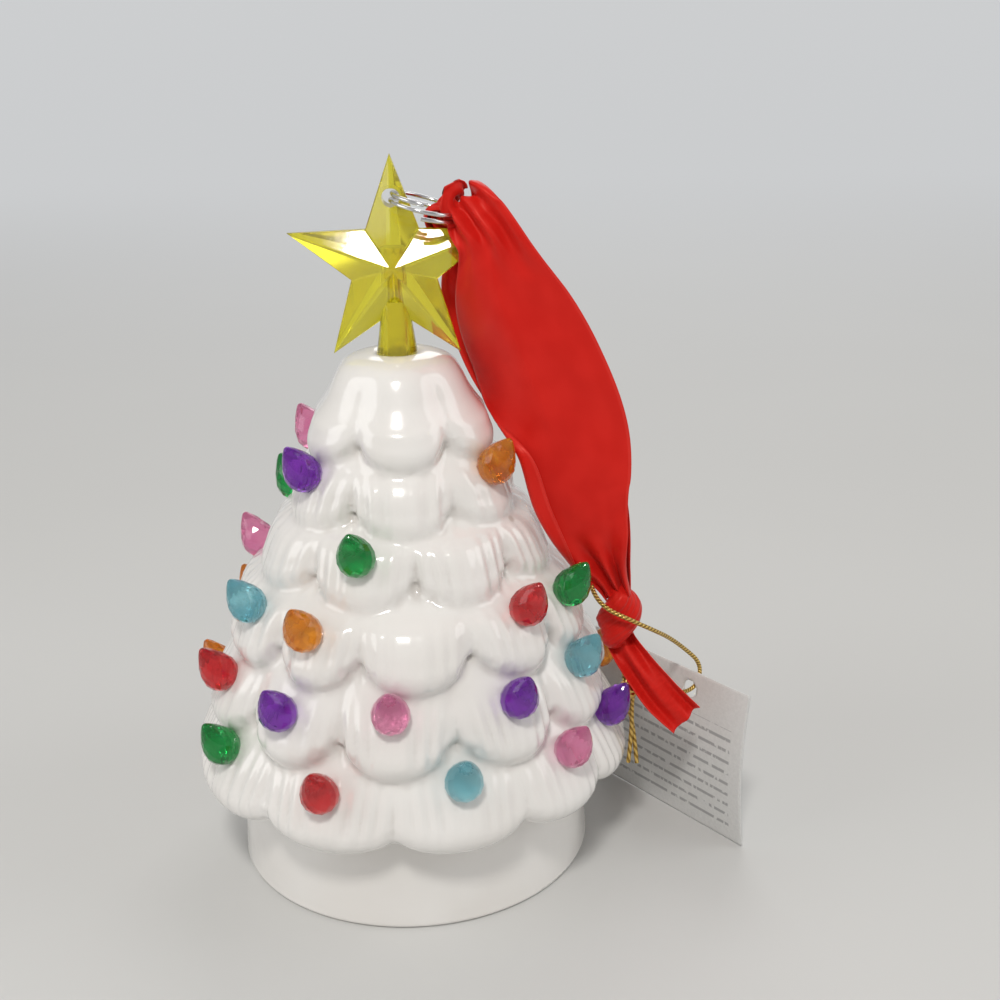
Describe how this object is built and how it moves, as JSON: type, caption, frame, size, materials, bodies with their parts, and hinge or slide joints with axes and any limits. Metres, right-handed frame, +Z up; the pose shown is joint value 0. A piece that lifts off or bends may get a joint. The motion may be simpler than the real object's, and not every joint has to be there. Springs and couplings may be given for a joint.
{
  "type": "ceramic christmas tree ornament",
  "caption": "Small white glazed ceramic tree with clear colour bulbs, a yellow star, a red ribbon hanger, a hang tag and a battery light unit in its base.",
  "frame": {"origin": "middle of the circle that the base stands on", "axes": "+Z up along the tree's axis, -Y the front of the star, +X the side that the ribbon hangs on"},
  "size_m": [0.1008, 0.0809, 0.1269],
  "materials": {
    "ceramic": "thick clear glaze over white",
    "ceramic_base": "thick clear glaze over white",
    "star_plastic": "clear yellow moulding, glossy",
    "bulb_purple": "clear purple, glossy",
    "bulb_green": "clear green, glossy",
    "bulb_orange": "clear orange, glossy",
    "bulb_red": "clear red, glossy",
    "bulb_teal": "clear teal, glossy",
    "bulb_pink": "clear pink, glossy",
    "ring_steel": "bright plated wire",
    "ribbon_satin": "satin",
    "tag_paper": "smooth card",
    "gold_cord": "metallic thread",
    "gold_bead": "bright",
    "unit_plastic": "fine grain",
    "door_plastic": "fine grain",
    "screw_steel": "zinc plated",
    "cell_steel": "drawn steel can",
    "contact_metal": "nickel plated",
    "board": "solder mask",
    "led_lens": "clear lens",
    "switch_metal": "pressed steel",
    "slider_plastic": "moulded"
  },
  "bodies": {
    "tree": {"base": "ceramic_base", "bulb_01_purple": "bulb_purple", "bulb_02_orange": "bulb_orange", "bulb_03_pink": "bulb_pink", "bulb_04_teal": "bulb_teal", "bulb_05_green": "bulb_green", "bulb_06_green": "bulb_green", "bulb_07_red": "bulb_red", "bulb_08_pink": "bulb_pink", "bulb_09_teal": "bulb_teal", "bulb_10_orange": "bulb_orange", "bulb_11_red": "bulb_red", "bulb_12_green": "bulb_green", "bulb_13_purple": "bulb_purple", "bulb_14_red": "bulb_red", "bulb_15_red": "bulb_red", "bulb_16_purple": "bulb_purple", "bulb_17_pink": "bulb_pink", "bulb_18_purple": "bulb_purple", "bulb_19_teal": "bulb_teal", "bulb_20_green": "bulb_green", "bulb_21_pink": "bulb_pink", "bulb_22_orange": "bulb_orange", "bulb_23_green": "bulb_green", "bulb_24_red": "bulb_red", "bulb_25_teal": "bulb_teal", "bulb_26_pink": "bulb_pink", "bulb_27_purple": "bulb_purple", "bulb_28_orange": "bulb_orange", "bulb_29_red": "bulb_red", "bulb_30_purple": "bulb_purple", "bulb_31_pink": "bulb_pink", "bulb_32_orange": "bulb_orange", "circuit_board": "board", "coin_cell": "cell_steel", "contact_negative": "contact_metal", "contact_positive": "contact_metal", "cover_screw_1": "screw_steel", "cover_screw_2": "screw_steel", "cover_screw_3": "screw_steel", "led": "led_lens", "light_cover": "unit_plastic", "light_housing": "unit_plastic", "star_topper": "star_plastic", "switch_body": "switch_metal", "tree_shell": "ceramic"},
    "ring": {"split_ring": "ring_steel"},
    "ribbon": {"ribbon_loop": "ribbon_satin", "ribbon_knot": "ribbon_satin", "ribbon_tail": "ribbon_satin"},
    "tag": {"tag": "tag_paper", "tag_cord": "gold_cord", "tag_bead": "gold_bead"},
    "switch": {"switch_slider": "slider_plastic"},
    "door": {"battery_door": "door_plastic", "door_screw": "screw_steel"}
  },
  "joints": [
    {"name": "ring_swing", "type": "hinge", "parent": "tree", "child": "ring", "pos_m": [0, 0, 0.11989], "axis": [0, -1, 0], "range_deg": [0, 95]},
    {"name": "ribbon_swing", "type": "hinge", "parent": "ring", "child": "ribbon", "pos_m": [0.01091, 0, 0.11696], "axis": [0, -1, 0], "range_deg": [0, 25]},
    {"name": "tag_swing", "type": "hinge", "parent": "ribbon", "child": "tag", "pos_m": [0.0376, -0.005, 0.051], "axis": [0, -1, 0], "range_deg": [0, 25]},
    {"name": "switch_slide", "type": "slide", "parent": "tree", "child": "switch", "axis": [1, 0, 0], "range_m": [0, 0.002]},
    {"name": "door_lift", "type": "slide", "parent": "tree", "child": "door", "axis": [0, 0, -1], "range_m": [0, 0.008]}
  ]
}
